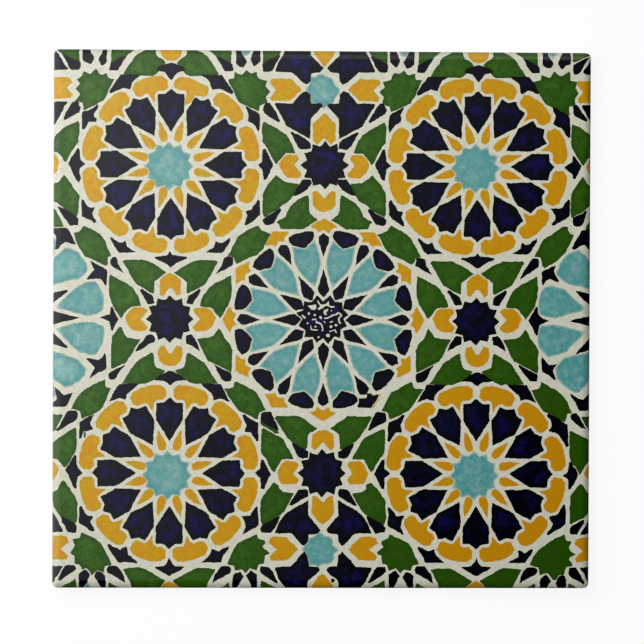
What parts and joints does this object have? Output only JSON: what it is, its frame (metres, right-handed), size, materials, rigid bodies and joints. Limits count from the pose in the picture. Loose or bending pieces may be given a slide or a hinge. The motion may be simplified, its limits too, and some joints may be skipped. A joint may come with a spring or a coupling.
{
  "type": "arabesque tile",
  "caption": "Square glazed ceramic wall tile with softly rolled face edges, a star-and-rosette patterned glossy face and a shallow waffle-keyed back.",
  "frame": {"origin": "middle of the back, on the plane of its key ribs, which the tile rests on", "axes": "+Z out of the glazed face, +Y towards the pattern's top edge as the picture shows it, +X towards its right edge"},
  "size_m": [0.108, 0.108, 0.0064],
  "materials": {
    "glazed_tile": "gloss"
  },
  "bodies": {
    "root": {"tile": "glazed_tile"}
  },
  "joints": []
}
